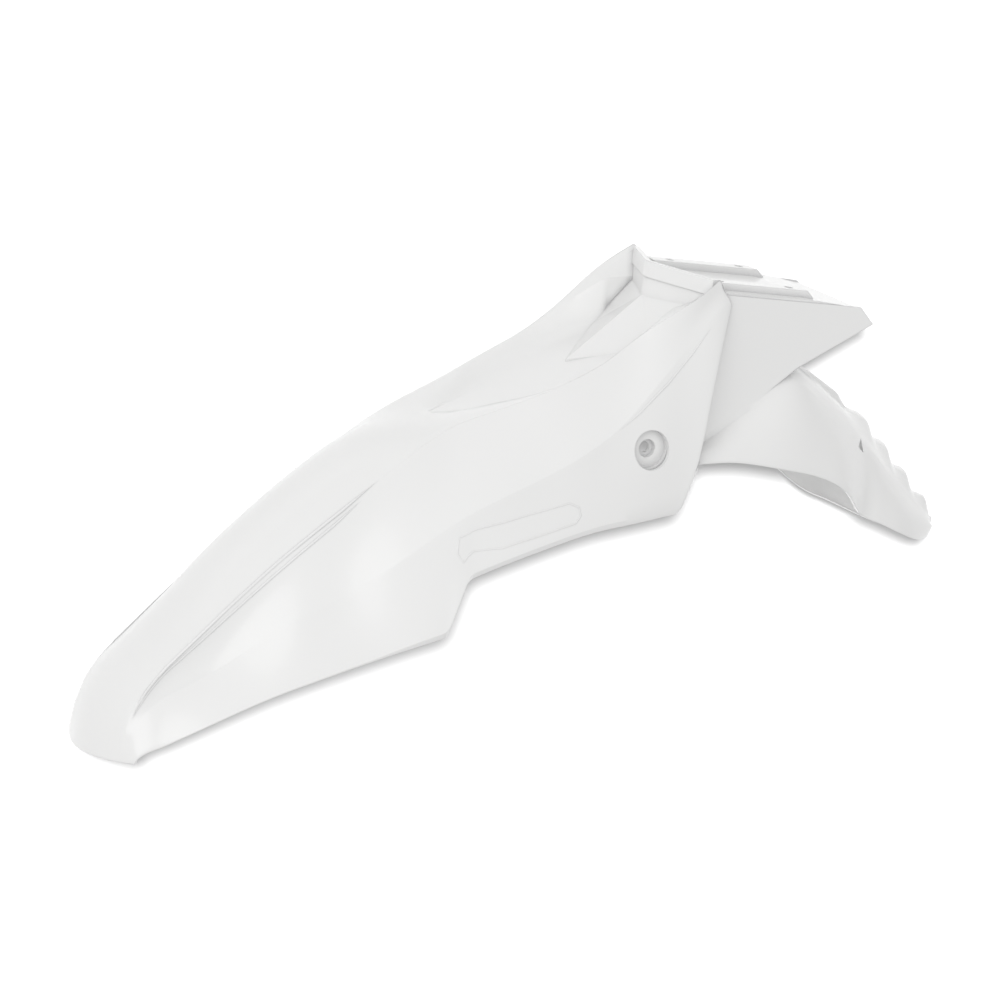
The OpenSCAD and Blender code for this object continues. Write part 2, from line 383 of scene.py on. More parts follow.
@dataclass(frozen=True)
class DrivingLines:
    """Lines that shape the skin, rear to front: x, half width, height from the rails, in mm.

    Attributes:
        crest: Upper crease of the sides, from the ears to the beak's nose.
        waist: Lower crease of the sides.
        rear_hem: Lower edge behind the step.
        front_hem: Lower edge in front of the step.
        crown: Centre line of the beak.
        valley_floor: Centre line of the sunken valley.
        tail_top: Centre line of the arch, under the deck.
        shoulder: Line where the arch turns down to its sides.
        tail_hem: Lower edge of the arch and tail.
    """

    crest: Line = (
        (46, 63, 6.5), (64, 66.5, -8.5), (82, 64, -23), (106, 58, -44), (130, 58, -65),
        (166, 56, -87), (202, 49, -106), (238, 43, -124), (267, 44, -145),
        (317, 44, -191), (364, 42, -238), (412, 41, -289.5), (440, 40, -320.5),
    )
    waist: Line = (
        (32, 61.5, -9), (44, 66, -15), (69, 71, -46), (88, 76, -69), (119, 82, -106),
        (150, 86, -130), (174, 85, -146), (210, 83, -167), (240, 79, -187),
        (282, 75, -222), (315, 68, -250), (356, 62, -275), (402, 48, -317), (440, 42, -342),
    )
    rear_hem: Line = (
        (60, 86, -166), (98, 90, -175.5), (136, 91, -186), (188, 90, -208),
        (220, 88, -223.5), (229, 88, -228),
    )
    front_hem: Line = (
        (240, 100, -267), (266, 99, -277), (298, 95, -291), (338, 89, -310),
        (374, 81, -329), (421, 65, -361), (446, 55, -379),
    )
    crown: Line = (
        (200, 0, -104.7), (238, 0, -123.5), (290, 0, -145), (340, 0, -185),
        (390, 0, -238), (420, 0, -284), (440, 0, -308),
    )
    valley_floor: Line = (
        (46, 0, -51), (76, 0, -53), (100, 0, -62), (124, 0, -75),
        (163, 0, -97), (200, 0, -113), (222, 0, -119.5), (236, 0, -123),
    )
    tail_top: Line = ((-107, 0, -86), (-73, 0, -66), (-39, 0, -51), (0, 0, -51), (46, 0, -51))
    shoulder: Line = (
        (-214, 1.5, -174), (-205, 9, -167), (-180, 19, -153), (-155, 26, -136),
        (-131, 33, -118), (-107, 39, -104), (-73, 47, -84), (-39, 53, -68),
        (0, 57, -93), (31, 59.3, -116), (46, 60.8, -125),
    )
    tail_hem: Line = (
        (-214, 2, -178), (-209.5, 8, -181), (-198, 18, -183), (-183, 28, -181),
        (-165, 36, -176), (-144, 40, -169.5), (-124, 42, -164), (-115.5, 50, -158),
        (-94, 63, -143), (-68, 69, -134), (-28, 75, -129), (12, 75, -127), (46, 75, -131),
    )


@dataclass(frozen=True)
class WidthTables:
    """Straight-line tables of x against a width, depth or share, rear to front, in mm.

    Attributes:
        floor_width: Half width of the valley's floor.
        bank_width: Half width at the top of the valley's banks.
        bank_drop: How far the banks' top lies below the unsunk top.
        side_bulge: How far the sides bow outward below the waist.
        turn_share: How much of the hem's full turn there is.
        beak_rear: Column number, instead of x, against the x where that column ends.
    """

    floor_width: Line = (
        (46, 45), (70, 45), (74, 40), (100, 45), (120, 47), (150, 41),
        (179, 30), (201, 18), (220, 10), (233, 5), (240, 12), (440, 12),
    )
    bank_width: Line = (
        (46, 47), (70, 48), (76, 50), (100, 55.5), (124, 56.5), (163, 54),
        (180, 46), (200, 30), (222, 19), (240, 26), (440, 24),
    )
    bank_drop: Line = ((46, 22), (58, 14), (74, 3), (163, 1), (200, 1.5), (236, 0))
    side_bulge: Line = ((46, 5), (90, 3), (150, 0), (240, -2), (330, -2), (440, 1))
    turn_share: Line = ((46, 1), (256, 1), (300, 0.3), (440, 0.1))
    beak_rear: Line = ((5, 46), (8, 32), (9, 42), (10, 48), (11, 50), (12, 60), (13, 62))


@dataclass(frozen=True)
class TailSizes:
    """Sizes of the arch, its centre strip and the stepped tail, in mm.

    Attributes:
        strip_half: Half width of the raised strip.
        strip_start: Where the strip starts to rise.
        strip_end: Where the strip ends and the tail begins.
        strip_rise: Height of the strip at its end.
        strip_lip: How much higher the strip stands once past that end.
        strip_fade: Length in which the strip falls away.
        landing_z: Height of the landing behind the strip.
        landing_slope: Fall of that landing for each mm of length.
        first_step: Where the first step starts.
        step_pitch: Length of a step.
        step_rise: Height of a step.
        fall_share: Share of a step's length that falls steeply.
        fall_part: Share of a step's height lost there.
        even_share: Slope of the unstepped sides, as a share of the steps' mean slope.
        step_fade: How soon the steps fade towards the shoulder.
        shares: Columns between the strip and the shoulder, as shares of its half width.
        cap_share: Largest share of the half width that the first column may take.
        under_beak: Half widths of the columns where the arch runs under the beak.
        join_x: Where the columns start to take up those half widths.
        join_run: Length in which they do.
        round_power: How square the section is over the tail.
        square_power: How square it is under the deck.
        square_x: Where it starts to turn square.
        square_run: Length in which it does.
        hem_gap: Offset from the hem to the side's lower end: width and height.
        side_bow: How far the side bows outward.
    """

    strip_half: float = 12.0
    strip_start: float = -45.0
    strip_end: float = -107.0
    strip_rise: float = 7.0
    strip_lip: float = 2.0
    strip_fade: float = 7.0
    landing_z: float = -88.0
    landing_slope: float = 0.19
    first_step: float = -135.0
    step_pitch: float = 23.0
    step_rise: float = 19.5
    fall_share: float = 0.3
    fall_part: float = 0.8
    even_share: float = 0.92
    step_fade: float = 1.5
    shares: tuple[float, ...] = (0.45, 0.62, 0.77, 0.88, 0.96)
    cap_share: float = 0.3
    under_beak: tuple[float, ...] = (0, 22, 45, 46, 47.5, 50, 54, 57.5)
    join_x: float = 10.0
    join_run: float = 30.0
    round_power: float = 3.0
    square_power: float = 14.0
    square_x: float = -39.0
    square_run: float = 50.0
    hem_gap: Pair = (0.5, 1.5)
    side_bow: float = 3.0

    def stepped(self, x: float) -> float:
        """Gives the centre line of the stepped tail.

        Args:
            x: Place along the tail.

        Returns:
            The height.
        """
        if x > self.first_step:
            return self.landing_z - self.landing_slope * (self.strip_end - x)
        n = (self.first_step - x) / self.step_pitch
        whole = math.floor(n)
        f = n - whole
        if f < self.fall_share:
            part = self.fall_part * f / self.fall_share
        else:
            part = mix(self.fall_part, 1.0, (f - self.fall_share) / (1 - self.fall_share))
        landing = self.landing_z - self.landing_slope * (self.strip_end - self.first_step)
        return landing - self.step_rise * (whole + part)


@dataclass(frozen=True)
class NoseSizes:
    """Where the beak ends, how its front edge lies and how the nose curves, in mm.

    Attributes:
        start: Where the beak gives way to the nose.
        run: Length of the nose, for places given along it.
        tip_x: Front of the nose's edge.
        tip_z: Lowest point of that edge.
        crest_half: Half width of that edge at the crest.
        waist_half: Half width at the waist.
        tip_half: Half width at its end.
        sweep: How far the edge falls back at a half width of sweep_half.
        sweep_half: That half width.
        lift: How far the edge rises to its end.
        forward: How far the nose bulges forward.
        spread: Share by which it bulges sideways.
        tuck: How far its sides keep to the edge's width, as a share.
        height: How high it bulges, as a share of its height.
        crown_height: How much higher it does so at the centre.
        fade_power: How late the bulges fade towards the hem.
    """

    start: float = 440.0
    run: float = 30.0
    tip_x: float = 469.5
    tip_z: float = -394.0
    crest_half: float = 37.0
    waist_half: float = 41.0
    tip_half: float = 50.0
    sweep: float = 11.0
    sweep_half: float = 46.0
    lift: float = 4.0
    forward: float = 8.0
    spread: float = 0.08
    tuck: float = 0.6
    height: float = 0.5
    crown_height: float = 0.06
    fade_power: float = 3.0


@dataclass(frozen=True)
class RowPlan:
    """Where the skin's rows lie, from the front edge to the tail's end, in mm.

    Attributes:
        nose_shares: Rows of the nose, as shares of its length.
        front_pitch: Spacing of the beak's front rows.
        front_rows: How many there are.
        step_rows: Rows round the step in the hem.
        back_start: First of the rows behind the step.
        back_pitch: Spacing of those rows.
        back_rows: How many there are.
        rear_shares: Rows from there to the beak's slanted rear end, as shares.
        under_rows: First rows of the arch, under the beak.
        arch_start: First of its even rows.
        arch_pitch: Spacing of those rows.
        arch_rows: How many there are.
        strip_row: Row just before the strip's end.
        landing_rows: Rows on the landing.
        step_shares: Rows of each step, as shares of its length.
        steps: How many full steps there are.
        end_rows: Rows that round the tail's end.
        first_sharp: Number of the row where the sharp creases start.
        pit_rows: Rows of the pit's edge, counted back from the beak's rear end.
    """

    nose_shares: tuple[float, ...] = (1, 0.9, 0.75, 0.6, 0.45, 0.3, 0.15)
    front_pitch: float = 10.0
    front_rows: int = 19
    step_rows: tuple[float, ...] = (250, 245.5, 241, 237, 233, 229, 223)
    back_start: float = 212.0
    back_pitch: float = 8.5
    back_rows: int = 17
    rear_shares: tuple[float, ...] = (0.08, 0.2, 0.35, 0.5, 0.65, 0.8, 0.9, 1.0)
    under_rows: tuple[float, ...] = (43, 40, 32, 24)
    arch_start: float = 14.0
    arch_pitch: float = 8.0
    arch_rows: int = 15
    strip_row: float = -105.0
    landing_rows: Pair = (-119, -127)
    step_shares: tuple[float, ...] = (0, 0.08, 0.16, 0.24, 0.32, 0.5, 0.75, 0.92)
    steps: int = 3
    end_rows: tuple[float, ...] = (-204, -206, -208.5, -211, -213, -214)
    first_sharp: int = 4
    pit_rows: tuple[int, int] = (9, 7)


@dataclass(frozen=True)
class Creases:
    """How sharply the skin is folded along its lines, 0 to 1.

    Attributes:
        side: Along the crest and the waist.
        pit: Across the valley, at the edge of the pit in front of the deck.
        bank: Along the top of the valley's banks.
        turn: Where the hem turns in.
        seam: Where the beak meets the arch.
        shoulder: Along the arch's shoulder.
    """

    side: float = 0.9
    pit: float = 0.8
    bank: float = 0.4
    turn: float = 0.5
    seam: float = 0.8
    shoulder: float = 0.8


@dataclass
class Skin:
    """The moulded skin: beak, nose, arch and tail in one sheet.

    Attributes:
        lines: The driving lines.
        tables: Widths and depths along x.
        tail_sizes: Sizes of the strip and the steps.
        nose_sizes: Sizes of the nose.
        plan: Where the rows lie.
        creases: How sharp the folds are.
        wall: Thickness of the skin, in mm.
        step_run: Length of the step in the hem, in mm.
        hem_turn: How far the hem is turned in, in mm.
        turn_slant: Way the hem turns: shares for width and height.
        panel_hollow: How deep the panel between the creases is hollowed, in mm.
        centre_rise: How far the top's centre stands above its edges, in mm.
        top_power: How flat the top is towards its centre.
        bank_middle: Where a bank bends, as a share of its width.
        bank_rise: How high it has risen there, as a share.
    """

    lines: DrivingLines = field(default_factory=DrivingLines)
    tables: WidthTables = field(default_factory=WidthTables)
    tail_sizes: TailSizes = field(default_factory=TailSizes)
    nose_sizes: NoseSizes = field(default_factory=NoseSizes)
    plan: RowPlan = field(default_factory=RowPlan)
    creases: Creases = field(default_factory=Creases)
    wall: float = 3.0
    step_run: float = 16.5
    hem_turn: float = 5.0
    turn_slant: Pair = (0.5, 0.85)
    panel_hollow: float = 2.0
    centre_rise: float = 0.5
    top_power: float = 2.2
    bank_middle: float = 0.45
    bank_rise: float = 0.38

    def hem(self, x: float) -> Vector:
        """Gives the beak's lower edge, which steps down in a short slope.

        Args:
            x: Place along the beak.

        Returns:
            Half width and height.
        """
        front, rear = self.lines.front_hem, self.lines.rear_hem
        start, foot = front[0][0], rear[-1][0]
        w = clamp((foot + self.step_run - x) / self.step_run, 0.0, 1.0)
        return at(front, max(x, start)) * (1 - w) + at(rear, min(x, foot)) * w

    def top(self, x: float, y: float) -> float:
        """Gives the height of the unsunk top.

        Args:
            x: Place along the beak.
            y: Half width.

        Returns:
            The height.
        """
        edge, crown = at(self.lines.crest, x), self.lines.crown
        centre = edge[1] + self.centre_rise if x < crown[0][0] else along(crown, x, 2)
        return centre - (centre - edge[1]) * (y / edge[0]) ** self.top_power

    def beak(self, x: float, c: int) -> Point:
        """Gives a point of the beak.

        Args:
            x: Place along the beak.
            c: Column number.

        Returns:
            The point.
        """
        crest, waist, low = at(self.lines.crest, x), at(self.lines.waist, x), self.hem(x)
        turn = self.hem_turn * lookup(x, self.tables.turn_share)
        turned = low + Vector((turn * self.turn_slant[0], turn * self.turn_slant[1]))
        floor = lookup(x, self.tables.floor_width)
        bank = lookup(x, self.tables.bank_width)
        sunk = x < self.lines.valley_floor[-1][0]
        floor_z = along(self.lines.valley_floor, x, 2)
        bank_z = self.top(x, bank) - lookup(x, self.tables.bank_drop)
        middle = mix(floor, bank, self.bank_middle)
        if c <= Column.FLOOR:
            y = floor * c / Column.FLOOR
            p = (y, floor_z if sunk else self.top(x, y))
        elif c < Column.BANK:
            p = (middle, mix(floor_z, bank_z, self.bank_rise) if sunk else self.top(x, middle))
        elif c == Column.BANK:
            p = (bank, bank_z)
        elif c <= Column.WAIST:
            p = panel(crest, waist, share_of(c, Column.CREST, Column.WAIST), -self.panel_hollow)
        elif c <= Column.TURN:
            bulge = lookup(x, self.tables.side_bulge)
            p = panel(waist, turned, share_of(c, Column.WAIST, Column.TURN), bulge)
        else:
            p = low
        return (x, p[0], p[1])

    def tail_width(self, x: float, c: int, half: float) -> float:
        """Gives the half width of a column over the arch or tail.

        Args:
            x: Place along the tail.
            c: Column number, up to the shoulder.
            half: Half width of the shoulder there.

        Returns:
            The half width.
        """
        t = self.tail_sizes
        wide = (0, t.strip_half, t.strip_half + 1, *(share * half for share in t.shares), half)
        cap = half * mix(t.cap_share, 1.0, c / Column.WAIST)
        under = (*t.under_beak, half)
        return mix(min(wide[c], cap), under[c], ease((x - t.join_x) / t.join_run))

    def tail(self, x: float, c: int) -> Point:
        """Gives a point of the arch or tail.

        Args:
            x: Place along the tail.
            c: Column number.

        Returns:
            The point.
        """
        t, top = self.tail_sizes, self.lines.tail_top
        edge, low = at(self.lines.shoulder, x), at(self.lines.tail_hem, x)
        if c > Column.TURN:
            return (x, low[0], low[1])
        if c > Column.WAIST:
            share = share_of(c, Column.WAIST, Column.TURN)
            p = panel(edge, low + Vector(t.hem_gap), share, t.side_bow)
            return (x, p[0], p[1])
        y = self.tail_width(x, c, edge[0])
        r = y / edge[0]
        power = mix(t.round_power, t.square_power, ease((x - t.square_x) / t.square_run))
        if x > t.strip_end:
            even = stair = along(top, x, 2)
            strip = t.strip_rise * clamp((t.strip_start - x) / (t.strip_start - t.strip_end), 0, 1)
        else:
            slope = t.even_share * t.step_rise / t.step_pitch
            even = along(top, t.strip_end, 2) - slope * (t.strip_end - x)
            stair = t.stepped(x)
            fade = clamp(1 - (t.strip_end - x) / t.strip_fade, 0, 1)
            strip = (t.strip_rise + t.strip_lip) * fade
        centre = mix(stair, even, min(1, t.step_fade * r * r)) + (strip if c <= 1 else 0)
        return (x, y, centre - (centre - edge[1]) * r**power)

    def nose(self, t: float, c: int) -> Point:
        """Gives a point of the rounded nose.

        Args:
            t: 0 where the beak ends, 1 at the front edge.
            c: Column number.

        Returns:
            The point.
        """
        n = self.nose_sizes
        a = Vector(self.beak(n.start, c))
        if c <= Column.CREST:
            y = n.crest_half * c / Column.CREST
        elif c <= Column.WAIST:
            y = mix(n.crest_half, n.waist_half, share_of(c, Column.CREST, Column.WAIST))
        else:
            y = mix(n.waist_half, n.tip_half, share_of(c, Column.WAIST, Column.HEM))
        back = n.sweep * (y / n.sweep_half) ** 2
        r = Vector((n.tip_x - back, y, n.tip_z + n.lift * (y / n.tip_half) ** 2))
        full = 1 - (c / Column.HEM) ** n.fade_power
        q = Vector((
            r[0] + n.forward * full,
            mix(a[1], r[1], n.tuck) * (1 + n.spread * full),
            mix(r[2], a[2], n.height + n.crown_height * full),
        ))
        return tuple(a * (1 - t) ** 2 + q * 2 * t * (1 - t) + r * t * t)

    def spot(self, place: float, column: float, side: int) -> Vector:
        """Gives a point of the beak or nose between two columns.

        Args:
            place: The x along the beak; past the beak's end it runs on over the nose.
            column: Column number, which may have a fraction.
            side: 1 for the left, -1 for the right.

        Returns:
            The point.
        """
        n = self.nose_sizes
        low = min(math.floor(column), Column.HEM - 1)
        if place > n.start:
            ends = [Vector(self.nose((place - n.start) / n.run, c)) for c in (low, low + 1)]
        else:
            ends = [Vector(self.beak(place, c)) for c in (low, low + 1)]
        point = ends[0].lerp(ends[1], column - low)
        point[1] *= side
        return point

    def rows(self) -> list[list[Point]]:
        """Lists the skin's half sections, from the front edge to the tail's end.

        Returns:
            Rows of points, one for each column.
        """
        t, plan, columns = self.tail_sizes, self.plan, range(Column.HEM + 1)
        start = self.nose_sizes.start
        front = [start - plan.front_pitch * k for k in range(plan.front_rows)]
        back = [plan.back_start - plan.back_pitch * k for k in range(plan.back_rows)]
        arch = [plan.arch_start - plan.arch_pitch * k for k in range(plan.arch_rows)]
        strip = [plan.strip_row, t.strip_end, t.strip_end - t.strip_fade]
        steps = [t.first_step - t.step_pitch * (k + share)
                 for k in range(plan.steps) for share in plan.step_shares]
        made = [[self.nose(share, c) for c in columns] for share in plan.nose_shares]
        made += [[self.beak(x, c) for c in columns] for x in [*front, *plan.step_rows, *back]]
        for share in plan.rear_shares:
            ends = [lookup(c, self.tables.beak_rear) for c in columns]
            made.append([self.beak(mix(back[-1], end, share), c) for c, end in enumerate(ends)])
        tail = [*plan.under_rows, *arch, *strip, *plan.landing_rows, *steps, *plan.end_rows]
        return made + [[self.tail(x, c) for c in columns] for x in tail]

    def crease(self, sheet: bpy.types.Object, beak_end: int) -> None:
        """Creases the sheet along its named lines.

        Args:
            sheet: The sheet, still as it was laid.
            beak_end: Number of rows before the arch starts.
        """
        half = int(Column.HEM)
        across = 2 * half + 1
        values, first_sharp = self.creases, self.plan.first_sharp
        pit_rows = [beak_end - back for back in self.plan.pit_rows]

        def row(a: int) -> int:
            """Gives the row of a vertex."""
            return a // across

        def on_line(a: int, b: int, c: int) -> bool:
            """Tells whether an edge runs along a column."""
            return abs(a % across - half) == c and abs(b % across - half) == c

        def on_side(a: int, b: int) -> bool:
            """Tells whether an edge lies on the beak's crest or waist."""
            lines = (Column.CREST, Column.WAIST)
            return any(on_line(a, b, c) for c in lines) and first_sharp <= row(a) < beak_end

        def on_pit(a: int, b: int) -> bool:
            """Tells whether an edge lies across the valley on the pit's edge."""
            inside = max(abs(a % across - half), abs(b % across - half)) <= Column.BANK
            return inside and row(a) == row(b) and row(a) in pit_rows

        def on_bank(a: int, b: int) -> bool:
            """Tells whether an edge lies on a bank's top."""
            return on_line(a, b, Column.BANK) and row(a) < beak_end

        def on_seam(a: int, b: int) -> bool:
            """Tells whether an edge lies where the beak meets the arch."""
            return row(a) == row(b) in (beak_end - 1, beak_end)

        def on_shoulder(a: int, b: int) -> bool:
            """Tells whether an edge lies on the arch's shoulder."""
            return on_line(a, b, Column.WAIST) and row(a) >= beak_end

        crease_edges(sheet, on_side, values.side, sharp=True)
        crease_edges(sheet, on_pit, values.pit)
        crease_edges(sheet, on_bank, values.bank)
        crease_edges(sheet, lambda a, b: on_line(a, b, Column.TURN), values.turn)
        crease_edges(sheet, on_seam, values.seam)
        crease_edges(sheet, on_shoulder, values.shoulder)

    def build(self) -> bpy.types.Object:
        """Models the skin from a grid laid on its sections.

        Returns:
            The skin as a thick sheet.
        """
        rows, half = self.rows(), int(Column.HEM)
        sheet = add_sheet("front_fender_shell", 2 * half, len(rows))
        for number, vertex in enumerate(sheet.data.vertices):
            row, column = divmod(number, 2 * half + 1)
            point = Vector(rows[row][abs(column - half)]) * MM
            if column < half:
                point[1] = -point[1]
            vertex.co = point
        self.crease(sheet, len([row for row in rows if row[0][0] >= self.lines.crest[0][0]]))
        smooth = sheet.modifiers.new("smooth", "SUBSURF")
        smooth.levels = smooth.render_levels = 1
        smooth.boundary_smooth = "PRESERVE_CORNERS"
        thick = sheet.modifiers.new("thick", "SOLIDIFY")
        thick.thickness = self.wall * MM
        thick.offset = -1
        apply_modifiers(sheet)
        face_outward(sheet)
        return sheet


@dataclass(frozen=True)
class BeadShape:
    """A thin rounded bead moulded on the beak.

    Attributes:
        width: Width of the bead, in mm.
        height: How far it stands up, in mm.
        path: Places along the beak and column numbers; closed if it ends where it starts.
    """

    width: float
    height: float
    path: Line


class Bead(Enum):
    """The beads of one side."""

    RIB_UPPER = BeadShape(2.2, 0.75, (
        (454, 6.4), (447, 5.5), (438, 5.0), (400, 4.95), (360, 4.95), (320, 5.0), (292, 5.0),
    ))
    RIB_LOWER = BeadShape(1.8, 0.55, (
        (454, 6.6), (447, 6.1), (438, 5.6), (400, 5.42), (360, 5.36), (325, 5.3), (304, 5.2),
    ))
    VALLEY_RIM = BeadShape(1.6, 0.45, (
        (80, 2), (100, 2), (130, 2), (160, 2), (179, 2), (201, 2), (215, 2), (225, 1.7),
        (231, 1.1), (235, 0),
    ))
    PAD_FRAME = BeadShape(1.2, 0.25, (
        (239, 8.75), (230, 9.1), (208, 9.53), (178, 9.88), (157, 10.15), (149, 10.6),
        (146.5, 11.1), (150, 11.4), (176, 11.3), (206, 11.12), (235, 10.3), (240, 9.4),
        (239, 8.75),
    ))
    WAIST_LINE = BeadShape(1.6, 0.3, ((50, 8.2), (66, 8.28), (84, 8.32), (104, 8.22), (122, 8.05)))


@dataclass
class Beads:
    """All beads of the beak.

    Attributes:
        skin: The skin that carries them.
        around: Faces round a bead.
        samples: Sections between two points of a path, and in the fading ends.
        column_reach: Columns to each side by which the skin's slope is felt.
        place_reach: Length to each side by which it is felt, in mm.
    """

    skin: Skin
    around: int = 8
    samples: int = 8
    column_reach: float = 0.3
    place_reach: float = 2.0

    def outward(self, place: float, column: float, side: int) -> Vector:
        """Gives the direction that points out of the skin.

        Args:
            place: Place along the beak.
            column: Column number.
            side: 1 for the left, -1 for the right.

        Returns:
            The direction.
        """
        spot, reach = self.skin.spot, self.column_reach
        down = spot(place, min(column + reach, Column.HEM), side)
        down -= spot(place, max(column - reach, 0), side)
        run = spot(place + self.place_reach, column, side)
        run -= spot(place - self.place_reach, column, side)
        out = run.cross(down).normalized()
        return out if out[2] + side * out[1] > 0 else -out

    def lay(self, shape: BeadShape, side: int) -> bpy.types.Object:
        """Lays one bead on the beak.

        Args:
            shape: The bead.
            side: 1 for the left, -1 for the right.

        Returns:
            The bead's piece.
        """
        path, samples, around = shape.path, self.samples, self.around
        closed = path[0] == path[-1]
        places = [
            (mix(p[0], q[0], k / samples), mix(p[1], q[1], k / samples))
            for p, q in zip(path, path[1:])
            for k in range(samples)
        ] + [path[-1]]
        centres = [self.skin.spot(place, column, side) for place, column in places]
        last = len(centres) - 1
        piece = add_sheet("bead", around, len(centres))
        for row, centre in enumerate(centres):
            before, after = max(row - 1, 0), min(row + 1, last)
            if closed and row in (0, last):
                before, after = last - 1, 1
            run = (centres[after] - centres[before]).normalized()
            out = self.outward(*places[row], side)
            across = run.cross(out).normalized()
            full = 1.0 if closed else ease(min(row, last - row) / samples)
            for k in range(around + 1):
                angle = 2 * math.pi * (k % around) / around
                offset = across * (shape.width / 2 * math.cos(angle))
                offset += out * (shape.height * math.sin(angle))
                piece.data.vertices[row * (around + 1) + k].co = (centre + offset * full) * MM
        face_outward(piece, weld=True)
        return piece

    def build(self) -> list[bpy.types.Object]:
        """Lays every bead on both sides."""
        return [self.lay(bead.value, side) for bead in Bead for side in SIDES]


@dataclass
class Prow:
    """The folded wall in front of the deck, with its lip, ledge and flanks, in mm.

    Attributes:
        front: Where the wall's two legs would meet.
        end: Where a leg ends: x and half width.
        rounding: Radius of the wall's front.
        round_steps: Faces in each half of that rounding.
        lip_rise: Height of the lip above the rails.
        ledge_depth: How far the lip stands proud of the wall below.
        ledge_drop: Depth of the ledge line below the rails.
        foot_z: Height of the wall's lower edge.
        spine_foot: Front end of the ridge between the flanks.
        spine_top: Rear end of that ridge.
        flank_top: Upper outer corner of a flank.
        flank_foot: Lower outer corner of a flank.
        flank_depth: How deep the flanks reach below their faces.
        wall: Thickness of the moulding.
    """

    front: float = 72.0
    end: Pair = (48.0, 58.0)
    rounding: float = 14.0
    round_steps: int = 6
    lip_rise: float = 4.0
    ledge_depth: float = 1.2
    ledge_drop: float = 8.0
    foot_z: float = -22.0
    spine_foot: Point = (126.0, 0.0, -74.5)
    spine_top: Point = (71.0, 0.0, -21.0)
    flank_top: Point = (50.0, 46.0, -15.0)
    flank_foot: Point = (82.0, 46.0, -54.5)
    flank_depth: float = 4.0
    wall: float = 3.0

    def line(self, back: float) -> list[Pair]:
        """Gives the wall's line in plan, set back from its outer face.

        Args:
            back: How far it is set back, in mm.

        Returns:
            Points from the right leg's end round to the left one's.
        """
        angle = math.atan2(self.front - self.end[0], self.end[1])
        centre = self.front - self.rounding / math.cos(angle)
        radius = self.rounding - back
        end = self.end[0] - back / math.cos(angle)
        steps = self.round_steps
        turns = [angle * k / steps for k in range(-steps, steps + 1)]
        arc = [(centre + radius * math.cos(a), radius * math.sin(a)) for a in turns]
        return [(end, -self.end[1]), *arc, (end, self.end[1])]

    def band(self, name: str, proud: float, low: float, high: float) -> bpy.types.Object:
        """Models one band of the wall.

        Args:
            name: The piece's name.
            proud: How far it stands out in front of the wall, in mm.
            low: Height of its lower edge, in mm.
            high: Height of its upper edge, in mm.

        Returns:
            The band.
        """
        plan = [*self.line(-proud), *reversed(self.line(self.wall))]
        return outline_solid(name, [(x, y, low) for x, y in plan], (0.0, 0.0, high - low))

    def build(self) -> list[bpy.types.Object]:
        """Models the wall and the flanks.

        Returns:
            The pieces.
        """
        pieces = [
            self.band("prow_wall", 0.0, self.foot_z, -self.ledge_drop),
            self.band("prow_lip", self.ledge_depth, -self.ledge_drop, self.lip_rise),
        ]
        corners = (self.spine_foot, self.spine_top, self.flank_foot, self.flank_top)
        for side in SIDES:
            foot, top, low, high = [Vector((p[0], p[1] * side, p[2])) for p in corners]
            for number, face in enumerate(((foot, top, low), (top, high, low))):
                pieces.append(outline_solid(f"flank_{number}", face, (0, 0, -self.flank_depth)))
        return pieces


